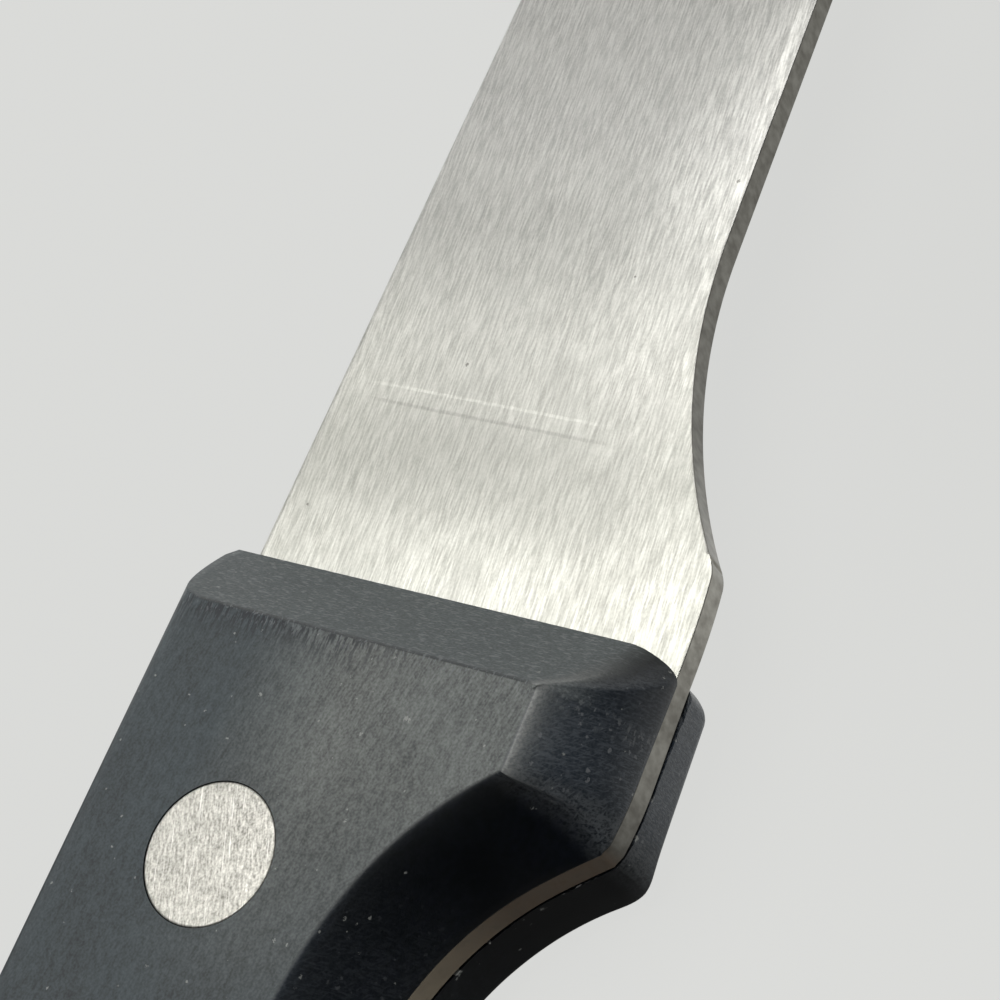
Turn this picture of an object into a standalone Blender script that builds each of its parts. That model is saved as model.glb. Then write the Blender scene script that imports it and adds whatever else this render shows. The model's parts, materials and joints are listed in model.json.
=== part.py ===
"""Two-tined meat fork: a flat steel blank whose full tang is riveted between two bevelled plastic scales.

Sizes are in millimetres in the bolster frame: x = 0 is the line where the scales end and the bare steel begins,
+x runs to the tines, y = 0 is the straight spine edge of the shank and z = 0 is the flat face that the fork
rests on. An empty carries this frame, placed so that the world origin is the bottom centre of the whole fork.
"""
import math

import bmesh
import bpy

MM = 0.001

# Lengths along the fork, measured from the bolster line
BLADE_LENGTH = 168.0
HANDLE_LENGTH = 118.0

# Thicknesses through the handle, from the rest face up
SCALE_THICK = 5.2
SEAT_GAP = 0.3
STOCK_THICK = 1.6
BLANK_BOTTOM = SCALE_THICK + SEAT_GAP
BLANK_TOP = BLANK_BOTTOM + STOCK_THICK
FRONT_SEAT = BLANK_TOP + SEAT_GAP
HANDLE_TOP = FRONT_SEAT + SCALE_THICK

# Shank and tines
SHANK_STRAIGHT_END = 45.0
SHANK_TAPER_START = 23.0
SHANK_BELLY_Y = -19.06
SHANK_TAPER_DEG = 2.2
FORK_AXIS_Y = -9.3
FORK_HALF_WIDTH = 8.2
TINE_START = 84.0
SLOT_HALF_WIDTH = 3.6
POINT_START = 142.0
TIP_OUTER = 7.0
TIP_INNER = 6.2
TIP_THICK = 0.7

# Heel, where the shank swells to the width of the guard, and the gentle curve from its corner to the guard
HEEL_START_X = 21.9
HEEL_RADIUS = 30.6
HEEL_END_DEG = 37.3
HEEL_FOOT = (-1.0, -25.7)
HEEL_FOOT_PULL = (2.4, -25.68)
TANG_STEP_X = -0.8

# Outline of the handle where the scales meet the tang
SPINE_Y = 1.3
SPINE_STRAIGHT_END = -72.0
SPINE_CORNER_RADIUS = 0.5
BUTT_START = -107.0
BUTT_TOP_Y = -3.0
BUTT_HEEL_Y = -25.4
BUTT_POWER = 2.4
GRIP_WAIST = (-92.0, -20.4)
PALM_SWELL = (-60.0, -22.8)
SCOOP_CENTRE = (-23.5, -34.3)
SCOOP_RADIUS = 16.0
SCOOP_START_DEG = 34.6
GUARD_Y = -25.85
GUARD_REAR_X = -8.6

# Front corner of the guard: the bolster line sweeps back gently, then turns into the guard's edge
SWEEP_START = (0.0, -22.6)
SWEEP_PULL = (-0.02, -24.0)
SWEEP_END = (-0.93, -25.45)
TURN_PULL = (-1.08, -25.83)
TURN_END = (-1.6, GUARD_Y)

# Ridge, where the sloping sides meet the flat faces of the scales
BEVEL_LENGTH = 4.6
GUARD_RIDGE_Y = -22.4
GUARD_RIDGE_REAR_X = -8.95
SCOOP_RIDGE_START_DEG = 39.3
SCOOP_RIDGE_RADIUS_START = 18.8
SCOOP_RIDGE_RADIUS_END = 18.2
BELLY_BEVEL = 2.6
SPINE_BEVEL = 3.4
SPINE_CORNER_FORM = 1.5
SLANT_LENGTH = 9.0
BUTT_BEVEL = 4.0

# Sides of the scales, as shares of their width and height: an upright wall at the tang, and the pull of the
# curve from there to the ridge. The front scale slopes almost from the tang on, the back scale has a tall wall
SIDE_STEPS = 8
WALL_STEPS = 2
FRONT_WALL = 0.06
FRONT_PULL = (0.2, 0.62)
BACK_WALL = 0.5
BACK_PULL = (0.0, 0.66)
SOFT_PULL = (0.35, 1.0)
BELLY_FORM = 0.4

# Two-piece rivets: a stud pressed into a tubed socket
RIVETS = {"guard": (-16.3, -9.5), "middle": (-57.0, -9.8), "butt": (-97.0, -10.6)}
RIVET_HEAD_RADIUS = 3.5
RIVET_HEAD_THICK = 1.8
SOCKET_RADIUS = 2.4
SOCKET_BORE_RADIUS = 1.7
SOCKET_FLOOR = 0.8
STUD_RADIUS = 1.4
HOLE_GAP = 0.25
ROUND_STEPS = 48


def clear_scene():
    for item in list(bpy.data.objects):
        bpy.data.objects.remove(item, do_unlink=True)


def new_collection(name):
    collection = bpy.data.collections.new(name)
    bpy.context.scene.collection.children.link(collection)
    return collection


def new_material(name, colour, roughness, metallic):
    material = bpy.data.materials.new(name)
    material.use_nodes = True
    shader = material.node_tree.nodes["Principled BSDF"]
    shader.inputs["Base Color"].default_value = (*colour, 1.0)
    shader.inputs["Roughness"].default_value = roughness
    shader.inputs["Metallic"].default_value = metallic
    return material


def add_object(name, data, collection, parent, material=None):
    item = bpy.data.objects.new(name, data)
    item.parent = parent
    collection.objects.link(item)
    if material:
        data.materials.append(material)
    return item


def smooth_round_faces(mesh, sharp_deg=30.0):
    mesh.shade_smooth()
    mesh.set_sharp_from_angle(angle=math.radians(sharp_deg))


# Outline helpers

def mix(a, b, share):
    return a + (b - a) * share


def ease(share):
    """Smooth step from 0 to 1 that starts and ends level."""
    return share * share * (3.0 - 2.0 * share)


def shares(count, last=True):
    """Even shares from 0 to 1, with or without the last one."""
    return [i / count for i in range(count + 1 if last else count)]


def polar(centre, radius, degrees):
    angle = math.radians(degrees)
    return (centre[0] + radius * math.cos(angle), centre[1] + radius * math.sin(angle))


def arc(centre, radius, start_deg, end_deg, steps):
    return [polar(centre, radius, mix(start_deg, end_deg, s)) for s in shares(steps)]


def pulled(start, pull, end, share):
    """Point of a quadratic curve from start to end that is pulled towards a third point."""
    rest = 1.0 - share
    weights = (rest * rest, 2.0 * rest * share, share * share)
    return tuple(weights[0] * a + weights[1] * b + weights[2] * c for a, b, c in zip(start, pull, end))


def swell(start, end, steps):
    """Points of a level-ended curve from one low or high point of an edge to the next."""
    return [(mix(start[0], end[0], s), mix(start[1], end[1], ease(s))) for s in shares(steps, last=False)]


# The handle's side: stations round the outline, each with its rim point at the tang, its ridge point at the
# flat face, its form (0 wall and chamfer, 1 rounded, 2 straight slant) and how much it leans with the front bevel

def spine_stations():
    rim = [(mix(-SPINE_CORNER_RADIUS, -SLANT_LENGTH, s), SPINE_Y) for s in shares(5, last=False)]
    rim += [(mix(-SLANT_LENGTH, SPINE_STRAIGHT_END, s), SPINE_Y) for s in shares(4, last=False)]
    rim += swell((SPINE_STRAIGHT_END, SPINE_Y), (BUTT_START, BUTT_TOP_Y), 12)
    stations = []
    for x, y in rim:
        form = mix(1.0, SPINE_CORNER_FORM, max(0.0, 1.0 + x / SLANT_LENGTH))
        stations.append(((x, y), (min(-BEVEL_LENGTH, x), y - SPINE_BEVEL), form, 0.0))
    return stations


def butt_stations():
    """Squarish rounded end, drawn as half of a superellipse."""
    middle_y = (BUTT_TOP_Y + BUTT_HEEL_Y) / 2
    half = (BUTT_TOP_Y - BUTT_HEEL_Y) / 2
    reach = HANDLE_LENGTH + BUTT_START
    stations = []
    for s in shares(24, last=False):
        angle = math.pi * s
        out = abs(math.sin(angle)) ** (2.0 / BUTT_POWER)
        up = math.copysign(abs(math.cos(angle)) ** (2.0 / BUTT_POWER), math.cos(angle))
        rim = (BUTT_START - reach * out, middle_y + half * up)
        bevel_y = mix(SPINE_BEVEL, BELLY_BEVEL, s)
        ridge = (BUTT_START - (reach - BUTT_BEVEL) * out, middle_y + (half - bevel_y) * up)
        stations.append((rim, ridge, mix(1.0, BELLY_FORM, s), 0.0))
    return stations


def belly_stations():
    scoop_floor = polar(SCOOP_CENTRE, SCOOP_RADIUS, 90.0)
    rim = swell((BUTT_START, BUTT_HEEL_Y), GRIP_WAIST, 8)
    rim += swell(GRIP_WAIST, PALM_SWELL, 10)
    rim += swell(PALM_SWELL, scoop_floor, 12)
    floor_bevel = SCOOP_RIDGE_RADIUS_END - SCOOP_RADIUS
    stations = []
    for x, y in rim:
        share = (x - BUTT_START) / (scoop_floor[0] - BUTT_START)
        bevel = mix(BELLY_BEVEL, floor_bevel, share)
        stations.append(((x, y), (x, y + bevel), mix(BELLY_FORM, 0.0, share), 0.0))
    return stations


def scoop_stations():
    """Round finger scoop behind the guard. Its ridge runs closer to the edge at the floor of the scoop."""
    stations = []
    for s in shares(12, last=False):
        rim = polar(SCOOP_CENTRE, SCOOP_RADIUS, mix(90.0, SCOOP_START_DEG, s))
        ridge_radius = mix(SCOOP_RIDGE_RADIUS_END, SCOOP_RIDGE_RADIUS_START, ease(s))
        ridge = polar(SCOOP_CENTRE, ridge_radius, mix(90.0, SCOOP_RIDGE_START_DEG, s))
        stations.append((rim, ridge, 0.0, 0.0))
    return stations


def guard_stations():
    """Rounded rear corner, straight edge and swept front corner of the guard."""
    scoop_end = polar(SCOOP_CENTRE, SCOOP_RADIUS, SCOOP_START_DEG)
    ridge_rear = (GUARD_RIDGE_REAR_X, GUARD_RIDGE_Y)
    ridge_front = (-BEVEL_LENGTH, GUARD_RIDGE_Y)
    stations = []
    for s in shares(4, last=False):
        rim_x = mix(scoop_end[0], GUARD_REAR_X, s)
        rim_y = mix(scoop_end[1], GUARD_Y, math.sin(s * math.pi / 2))
        stations.append(((rim_x, rim_y), ridge_rear, 0.0, 0.0))
    for s in shares(4, last=False):
        rim = (mix(GUARD_REAR_X, TURN_END[0], s), GUARD_Y)
        stations.append((rim, (mix(ridge_rear[0], ridge_front[0], s), GUARD_RIDGE_Y), 0.0, s))
    corner = [pulled(TURN_END, TURN_PULL, SWEEP_END, s) for s in shares(4, last=False)]
    corner += [pulled(SWEEP_END, SWEEP_PULL, SWEEP_START, s) for s in shares(6)]
    for rim in corner:
        stations.append((rim, ridge_front, 0.0, 1.0))
    return stations


def front_stations():
    """Straight front edge along the bolster line and the rounded corner at the spine."""
    low = SWEEP_START[1]
    high = SPINE_Y - SPINE_CORNER_RADIUS
    ridge_high = SPINE_Y - SPINE_BEVEL
    stations = []
    for s in shares(6)[1:]:
        ridge = (-BEVEL_LENGTH, mix(GUARD_RIDGE_Y, ridge_high, s))
        stations.append(((0.0, mix(low, high, s)), ridge, SPINE_CORNER_FORM * ease(s), 1.0))
    corner = (-SPINE_CORNER_RADIUS, high)
    for degrees in (30.0, 60.0):
        rim = polar(corner, SPINE_CORNER_RADIUS, degrees)
        stations.append((rim, (-BEVEL_LENGTH, ridge_high), SPINE_CORNER_FORM, 1.0 - degrees / 90.0))
    return stations


def handle_stations():
    return (spine_stations() + butt_stations() + belly_stations() + scoop_stations()
            + guard_stations() + front_stations())


def side_share(step, form, wall, pull):
    """How far in and how far up the side has come at a step, from the rim (0) to the ridge (SIDE_STEPS)."""
    if step <= WALL_STEPS:
        crisp = (0.0, wall * step / WALL_STEPS)
    else:
        share = (step - WALL_STEPS) / (SIDE_STEPS - WALL_STEPS)
        crisp = pulled((0.0, wall), pull, (1.0, 1.0), share)
    soft = pulled((0.0, 0.0), SOFT_PULL, (1.0, 1.0), step / SIDE_STEPS)
    straight = (step / SIDE_STEPS, step / SIDE_STEPS)
    if form <= 1.0:
        return tuple(mix(a, b, form) for a, b in zip(crisp, soft))
    return tuple(mix(a, b, form - 1.0) for a, b in zip(soft, straight))


def side_ring(stations, step, seat_z, direction):
    """One closed ring of the scale's side. The lean keeps the front bevel a flat plane."""
    wall, pull = (FRONT_WALL, FRONT_PULL) if direction > 0 else (BACK_WALL, BACK_PULL)
    ring = []
    for rim, ridge, form, lean in stations:
        inward, upward = side_share(step, form, wall, pull)
        x = mix(rim[0], ridge[0], mix(inward, upward, lean))
        y = mix(rim[1], ridge[1], inward)
        z = seat_z + direction * SCALE_THICK * upward
        ring.append((x * MM, y * MM, z * MM))
    return ring


def scale_mesh(name, seat_z, direction):
    """Loft from the tang outline to the ridge outline, closed by the seat and the flat face."""
    stations = handle_stations()
    form = bmesh.new()
    rings = []
    for step in range(SIDE_STEPS + 1):
        ring = [form.verts.new(point) for point in side_ring(stations, step, seat_z, direction)]
        rings.append(ring)
    count = len(stations)
    for lower, upper in zip(rings, rings[1:]):
        for i in range(count):
            j = (i + 1) % count
            form.faces.new((lower[i], lower[j], upper[j], upper[i]))
    form.faces.new(rings[0])
    form.faces.new(rings[-1])
    bmesh.ops.remove_doubles(form, verts=form.verts, dist=1e-6)
    bmesh.ops.recalc_face_normals(form, faces=form.faces)
    mesh = bpy.data.meshes.new(name)
    form.to_mesh(mesh)
    form.free()
    return mesh


# The steel blank

def tang_outline():
    """Rim of the scales from the rear of the step under the bolster round to the front of the guard."""
    step_end = TANG_STEP_X - SPINE_Y
    rim = [station[0] for station in spine_stations() if station[0][0] < step_end]
    rim += [station[0] for station in butt_stations() + belly_stations() + scoop_stations()]
    rim += [station[0] for station in guard_stations() if station[0][0] <= GUARD_REAR_X]
    return rim


def heel_outline():
    """Gentle curve from the guard to the heel's corner, then the flank, an arc that runs into the shank."""
    taper = math.radians(SHANK_TAPER_DEG)
    start_y = SHANK_BELLY_Y - math.tan(taper) * (SHANK_TAPER_START - HEEL_START_X)
    centre = (HEEL_START_X + HEEL_RADIUS * math.sin(taper), start_y - HEEL_RADIUS * math.cos(taper))
    flank = arc(centre, HEEL_RADIUS, 90.0 + HEEL_END_DEG, 90.0 + SHANK_TAPER_DEG, 16)
    foot = [pulled(HEEL_FOOT, HEEL_FOOT_PULL, flank[0], s) for s in shares(6, last=False)]
    return foot + flank


def tine_outline(side):
    """One tine from its outer edge round the point and back along the slot. Side is +1 at the spine."""
    outer = [(POINT_START, FORK_HALF_WIDTH)]
    inner = []
    for s in shares(6)[1:]:
        x = mix(POINT_START, BLADE_LENGTH - (TIP_OUTER - TIP_INNER) / 2, s)
        outer.append((x, mix(FORK_HALF_WIDTH, TIP_OUTER, s * s)))
        inner.append((x, mix(SLOT_HALF_WIDTH, TIP_INNER, s * s)))
    tip_radius = (TIP_OUTER - TIP_INNER) / 2
    tip = arc((BLADE_LENGTH - tip_radius, TIP_INNER + tip_radius), tip_radius, 60.0, -60.0, 4)
    points = outer + tip + inner[::-1] + [(POINT_START, SLOT_HALF_WIDTH)]
    return [(x, FORK_AXIS_Y + side * y) for x, y in points]


def slot_root():
    """Round bottom of the slot between the tines, from the spine side to the belly side."""
    return arc((TINE_START, FORK_AXIS_Y), SLOT_HALF_WIDTH, 90.0, 270.0, 12)


def blank_outline():
    taper_drop = math.tan(math.radians(SHANK_TAPER_DEG)) * (SHANK_STRAIGHT_END - SHANK_TAPER_START)
    belly_tine_start = (TINE_START, FORK_AXIS_Y - FORK_HALF_WIDTH)
    spine_tine_start = (TINE_START, FORK_AXIS_Y + FORK_HALF_WIDTH)
    belly_end = (SHANK_STRAIGHT_END, SHANK_BELLY_Y + taper_drop)
    outline = tang_outline()
    outline += heel_outline()
    outline += swell(belly_end, belly_tine_start, 8) + [belly_tine_start]
    outline += tine_outline(-1)
    outline += slot_root()[::-1]
    outline += tine_outline(1)[::-1]
    outline += swell(spine_tine_start, (SHANK_STRAIGHT_END, 0.0), 8)
    outline += [(SHANK_STRAIGHT_END, 0.0)]
    outline += arc((TANG_STEP_X, SPINE_Y), SPINE_Y, -90.0, -180.0, 6)
    return outline


def filled_outline(name, outline, bottom, top, collection):
    """Flat plate from a closed outline, as a welded mesh."""
    curve = bpy.data.curves.new(name, "CURVE")
    curve.dimensions = "2D"
    curve.fill_mode = "BOTH"
    curve.extrude = (top - bottom) / 2 * MM
    spline = curve.splines.new("POLY")
    spline.points.add(len(outline) - 1)
    for point, (x, y) in zip(spline.points, outline):
        point.co = (x * MM, y * MM, 0.0, 1.0)
    spline.use_cyclic_u = True
    guide = bpy.data.objects.new(name + "_outline", curve)
    collection.objects.link(guide)
    evaluated = guide.evaluated_get(bpy.context.evaluated_depsgraph_get())
    mesh = bpy.data.meshes.new_from_object(evaluated)
    mesh.name = name
    bpy.data.objects.remove(guide, do_unlink=True)
    form = bmesh.new()
    form.from_mesh(mesh)
    bmesh.ops.remove_doubles(form, verts=form.verts, dist=1e-6)
    bmesh.ops.translate(form, verts=form.verts, vec=(0.0, 0.0, (top + bottom) / 2 * MM))
    form.to_mesh(mesh)
    form.free()
    return mesh


def grind_points(mesh):
    """Thin the tines evenly on both faces towards their tips."""
    start = POINT_START * MM
    length = (BLADE_LENGTH - POINT_START) * MM
    middle = (BLANK_BOTTOM + BLANK_TOP) / 2 * MM
    form = bmesh.new()
    form.from_mesh(mesh)
    everything = form.verts[:] + form.edges[:] + form.faces[:]
    bmesh.ops.bisect_plane(form, geom=everything, dist=1e-7, plane_co=(start, 0, 0), plane_no=(1, 0, 0))
    for vert in form.verts:
        share = max(0.0, (vert.co.x - start) / length)
        vert.co.z = middle + (vert.co.z - middle) * mix(1.0, TIP_THICK / STOCK_THICK, share)
    form.to_mesh(mesh)
    form.free()


def make_blank(collection, parent, material):
    mesh = filled_outline("fork_blank", blank_outline(), BLANK_BOTTOM, BLANK_TOP, collection)
    grind_points(mesh)
    return add_object("fork_blank", mesh, collection, parent, material)


# Rivets and their holes

def turned(name, profile, place, collection, parent, material=None):
    """Solid of revolution about the vertical axis. The profile runs down the outer side, top to bottom."""
    mesh = bpy.data.meshes.new(name)
    points = [(radius * MM, 0.0, z * MM) for radius, z in profile]
    mesh.from_pydata(points, [(i, i + 1) for i in range(len(points) - 1)], [])
    item = add_object(name, mesh, collection, parent, material)
    item.location = (place[0] * MM, place[1] * MM, 0.0)
    screw = item.modifiers.new("turn", "SCREW")
    screw.axis = "Z"
    screw.steps = ROUND_STEPS
    screw.render_steps = ROUND_STEPS
    screw.use_merge_vertices = True
    screw.merge_threshold = 1e-6
    screw.use_smooth_shade = False
    return item


def stud_profile():
    head_bottom = HANDLE_TOP - RIVET_HEAD_THICK
    post_end = RIVET_HEAD_THICK + SOCKET_FLOOR + SEAT_GAP
    return [(0.0, HANDLE_TOP), (RIVET_HEAD_RADIUS, HANDLE_TOP), (RIVET_HEAD_RADIUS, head_bottom),
            (STUD_RADIUS, head_bottom), (STUD_RADIUS, post_end), (0.0, post_end)]


def socket_profile():
    mouth = HANDLE_TOP - RIVET_HEAD_THICK - SEAT_GAP
    floor = RIVET_HEAD_THICK + SOCKET_FLOOR
    return [(0.0, floor), (SOCKET_BORE_RADIUS, floor), (SOCKET_BORE_RADIUS, mouth), (SOCKET_RADIUS, mouth),
            (SOCKET_RADIUS, RIVET_HEAD_THICK), (RIVET_HEAD_RADIUS, RIVET_HEAD_THICK),
            (RIVET_HEAD_RADIUS, 0.0), (0.0, 0.0)]


def hole_profile():
    """Stepped hole through both scales and the tang: a seat for each head and a bore for the socket's tube."""
    seat = RIVET_HEAD_RADIUS + HOLE_GAP
    bore = SOCKET_RADIUS + HOLE_GAP
    depth = RIVET_HEAD_THICK + SEAT_GAP
    past = 1.0
    return [(0.0, HANDLE_TOP + past), (seat, HANDLE_TOP + past), (seat, HANDLE_TOP - depth),
            (bore, HANDLE_TOP - depth), (bore, depth), (seat, depth), (seat, -past), (0.0, -past)]


def cut(item, cutter):
    boolean = item.modifiers.new("rivet_hole", "BOOLEAN")
    boolean.operation = "DIFFERENCE"
    boolean.solver = "EXACT"
    boolean.object = cutter


def main():
    clear_scene()
    parts = new_collection("meat_fork")
    cutters = new_collection("cutters")
    steel = new_material("brushed_steel", (0.62, 0.62, 0.59), 0.32, 1.0)
    plastic = new_material("dark_plastic", (0.045, 0.050, 0.053), 0.48, 0.0)
    rivet_metal = new_material("rivet_metal", (0.66, 0.65, 0.60), 0.38, 1.0)

    frame = bpy.data.objects.new("bolster_frame", None)
    frame.location = ((HANDLE_LENGTH - BLADE_LENGTH) / 2 * MM, -(SPINE_Y + GUARD_Y) / 2 * MM, 0.0)
    parts.objects.link(frame)

    blank = make_blank(parts, frame, steel)
    front = add_object("front_scale", scale_mesh("front_scale", FRONT_SEAT, 1), parts, frame, plastic)
    back = add_object("back_scale", scale_mesh("back_scale", SCALE_THICK, -1), parts, frame, plastic)
    for name, place in RIVETS.items():
        turned(name + "_rivet_stud", stud_profile(), place, parts, frame, rivet_metal)
        turned(name + "_rivet_socket", socket_profile(), place, parts, frame, rivet_metal)
        hole = turned(name + "_rivet_hole", hole_profile(), place, cutters, frame)
        hole.hide_render = True
        hole.display_type = "WIRE"
        for item in (blank, front, back):
            cut(item, hole)
    for item in (front, back):
        smooth_round_faces(item.data)


main()
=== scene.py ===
"""Dressed scene of the meat fork: brushed steel blank, worn dark plastic scales and sanded rivets.

Sizes are in millimetres in the bolster frame: x = 0 is the line where the scales end and the bare steel
begins, +x runs to the tines, y = 0 is the straight spine edge of the shank and z = 0 is the face that the
fork rests on.
"""

import json
import math
from collections import namedtuple
from functools import reduce

import bmesh
import bpy
from mathutils import Matrix, Quaternion, Vector

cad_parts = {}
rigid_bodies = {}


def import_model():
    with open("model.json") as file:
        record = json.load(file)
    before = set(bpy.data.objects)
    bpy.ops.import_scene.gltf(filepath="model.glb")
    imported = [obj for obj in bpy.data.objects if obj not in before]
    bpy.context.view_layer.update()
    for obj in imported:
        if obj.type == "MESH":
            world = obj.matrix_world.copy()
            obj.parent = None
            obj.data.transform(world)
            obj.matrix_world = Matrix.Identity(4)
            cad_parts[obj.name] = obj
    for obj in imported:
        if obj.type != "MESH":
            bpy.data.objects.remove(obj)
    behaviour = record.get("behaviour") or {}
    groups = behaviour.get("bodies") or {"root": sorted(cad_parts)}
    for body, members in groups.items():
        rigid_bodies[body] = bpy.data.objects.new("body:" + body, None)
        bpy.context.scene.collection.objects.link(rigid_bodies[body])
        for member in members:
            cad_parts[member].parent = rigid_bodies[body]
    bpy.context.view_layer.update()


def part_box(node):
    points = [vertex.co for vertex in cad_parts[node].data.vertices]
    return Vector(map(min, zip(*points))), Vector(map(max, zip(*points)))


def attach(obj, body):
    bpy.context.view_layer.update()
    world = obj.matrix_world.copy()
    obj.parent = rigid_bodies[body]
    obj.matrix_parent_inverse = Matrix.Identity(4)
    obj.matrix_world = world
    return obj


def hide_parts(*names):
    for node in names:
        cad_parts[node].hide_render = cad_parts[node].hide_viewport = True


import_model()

# Metres in a millimetre, limits for the meshes in millimetres, and a kind of ramp
MM = 0.001
WELD = 0.0001
LEVEL_SLACK = 0.1
LEAST_MITRE = 0.5
SMOOTH = "SMOOTHSTEP"

# Levels through the handle and place of the bolster frame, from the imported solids
SPINE_Y = 1.3
SCALE_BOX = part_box("front_scale")
BLANK_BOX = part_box("fork_blank")
BOLSTER_X = SCALE_BOX[1][0] / MM
BOLSTER_Y = SCALE_BOX[1][1] / MM - SPINE_Y
BLANK_BOTTOM = BLANK_BOX[0][2] / MM
BLANK_TOP = BLANK_BOX[1][2] / MM
HANDLE_TOP = SCALE_BOX[1][2] / MM
BACK_SEAT = BLANK_BOTTOM - 0.22
SEAT_WOBBLE = 0.07
WOBBLE_WAVES = ((5.1, 3.7), (11.3, -7.9))
FRONT_SEAT = BLANK_TOP + 0.02
HANDLE_LENGTH = (SCALE_BOX[1][0] - SCALE_BOX[0][0]) / MM
BLADE_LENGTH = BLANK_BOX[1][0] / MM - BOLSTER_X

# Shank and tines
SHANK_STRAIGHT_END = 45.0
SHANK_TAPER_START = 23.0
SHANK_BELLY_Y = -19.06
SHANK_TAPER_DEG = 2.2
SHANK_SLOPE = math.tan(math.radians(SHANK_TAPER_DEG))
FORK_AXIS_Y = -9.3
FORK_HALF_WIDTH = 8.2
TINE_START = 84.0
SLOT_HALF_WIDTH = 3.6
POINT_START = 142.0
TIP_OUTER = 7.0
TIP_INNER = 6.2
TIP_THICK = 0.7
TIP_ARC_DEG = 75.0

# Heel, where the shank swells to the guard's width, and the gentle curve from its corner to the guard
HEEL_START_X = 21.9
HEEL_RADIUS = 30.6
HEEL_END_DEG = 37.3
HEEL_CORNER_CUT = 0.5
HEEL_FOOT = (-1.0, -25.7)
HEEL_FOOT_PULL = (2.4, -25.68)
TANG_STEP_X = -0.8

# Edges of the blank: rolled along the spine and the tines, crisp at the belly and along the tang
ROLLED_EDGE = 0.22
BELLY_EDGE = 0.05
TANG_EDGE = 0.03
CRISP_EDGE = 0.12
TANG_EDGE_FADE = 1.0
INNER_RING_GAP = 0.05
BELLY_END = 74.0
BELLY_END_FADE = 12.0
BELLY_BAND_START = 2.0
BELLY_BAND_FADE = 18.0
BELLY_BAND_WIDTH = 0.85
BELLY_BAND_DROP = 0.055

# Outline of the handle where the scales meet the tang
SPINE_STRAIGHT_END = -72.0
BUTT_START = -107.0
BUTT_TOP_Y = -3.0
BUTT_HEEL_Y = -25.4
BUTT_POWER = 2.4
GRIP_WAIST = (-92.0, -20.4)
PALM_SWELL = (-60.0, -22.8)
SCOOP_CENTRE = (-23.5, -34.3)
SCOOP_RADIUS = 16.0
SCOOP_START_DEG = 32.9
GUARD_Y = -25.85
GUARD_REAR_X = -9.35
REAR_CORNER = (-9.9, GUARD_Y)
REAR_INWARD = (0.265, 0.964)
REAR_SLOPE = 0.554
REAR_REACH = 3.2
REAR_SETBACK = 0.28
REAR_BOW = 3.7
REAR_RIM_FADE = 6.0
REAR_RIDGE_FADE = 4.0
REAR_SPREAD_BACK = 0.7
REAR_NEAR = 5.0 * REAR_SPREAD_BACK
REAR_FULL = 2.0 * REAR_SPREAD_BACK

# Front corner of the guard: its edge turns and sweeps forward to the crease, and on to the bolster line
TURN_END = (-1.6, GUARD_Y)
TURN_PULL = (-0.75, -25.9)
TURN_LEAST = 0.4
CREASE_FOOT = (-0.095, -23.48)
CREASE_BOW = 1.46
CREASE_TOP_SLOPE = 0.9
SWEEP_START_Y = -22.6

# Ridge, where the sloping sides meet the flat faces of the scales
BEVEL_LENGTH = 4.6
GUARD_RIDGE_Y = -22.4
GUARD_RIDGE_REAR_X = -8.95
SCOOP_RIDGE_START_DEG = 39.3
SCOOP_RIDGE_RADIUS_START = 18.8
SCOOP_RIDGE_RADIUS_END = 18.2
BELLY_BEVEL = 2.6
SPINE_BEVEL = 3.4
CORNER_ROUND = 1.0
FRONT_FAN_LENGTH = 9.0
BUTT_BEVEL = 4.0
GUARD_RIDGE_FRONT = (-BEVEL_LENGTH, GUARD_RIDGE_Y)
SPINE_RIDGE_FRONT = (-BEVEL_LENGTH, SPINE_Y - SPINE_BEVEL)

# How far the worn round of the ridge reaches down the side and into the flat face, by stretch
SPINE_ROUND = (0.5, 0.5)
BUTT_ROUND = (0.4, 0.4)
BELLY_ROUND = (0.7, 0.25)
GUARD_ROUND = (0.9, 0.25)
FRONT_ROUND = (0.15, 0.15)

# Sides of the scales by stretch: share of the height that stands upright, and the pull (in, up) of the
# curve from there to the ridge. The front scale slopes from the tang on, the back scale starts with a wall
SIDE_STEPS = 16
WALL_STEPS = 2
SOFT_SIDE = (0.15, 0.45, 1.0)
FRONT_BELLY = (0.04, 0.25, 0.75)
FRONT_SCOOP = (0.02, 0.45, 0.52)
FRONT_GUARD = (0.06, 0.20, 0.62)
BACK_BELLY = (0.30, 0.10, 0.80)
BACK_SCOOP = (0.50, 0.0, 0.80)
BACK_CORNER = (0.72, 0.0, 0.84)
BACK_REAR = (0.50, 0.0, 0.66)
BACK_GUARD = (0.33, 0.0, 0.62)
BACK_FRONT = (0.13, 0.05, 0.62)
ROUND_STEPS = 4
ROUND_MOST = 0.8

# How pale handling has made the ridge, by stretch, and how fast that fades down the side
GUARD_WEAR = 1.0
SCOOP_WEAR = 0.12
EDGE_WEAR = 0.15
WEAR_FADE = 1.0
# Paleness up the crease between front bevel and guard is wear with a painted highlight
CREASE_WEAR_AND_SHEEN = 0.9
CREASE_SPREAD = 0.35
BEVEL_CREASE_WEAR_AND_SHEEN = 0.06

# How rubbed the sides are at the scoop, where along it that starts, and how much haze and painted sheen the
# belly side has
SCOOP_RUB = 0.48
SCOOP_RUB_END = 0.7
CORNER_RUB = 0.1
CORNER_RUB_SPREAD = 0.06
REAR_RUB = 0.6
REAR_RUB_SPREAD = 0.2
BELLY_HAZE_AND_SHEEN = 0.5
# The flat face's haze and painted sheen fade over this tilt of the surface towards upright
HAZE_AND_SHEEN_TILT = 0.5
HAZE_AND_SHEEN_TILT_RANGE = 0.45

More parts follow.
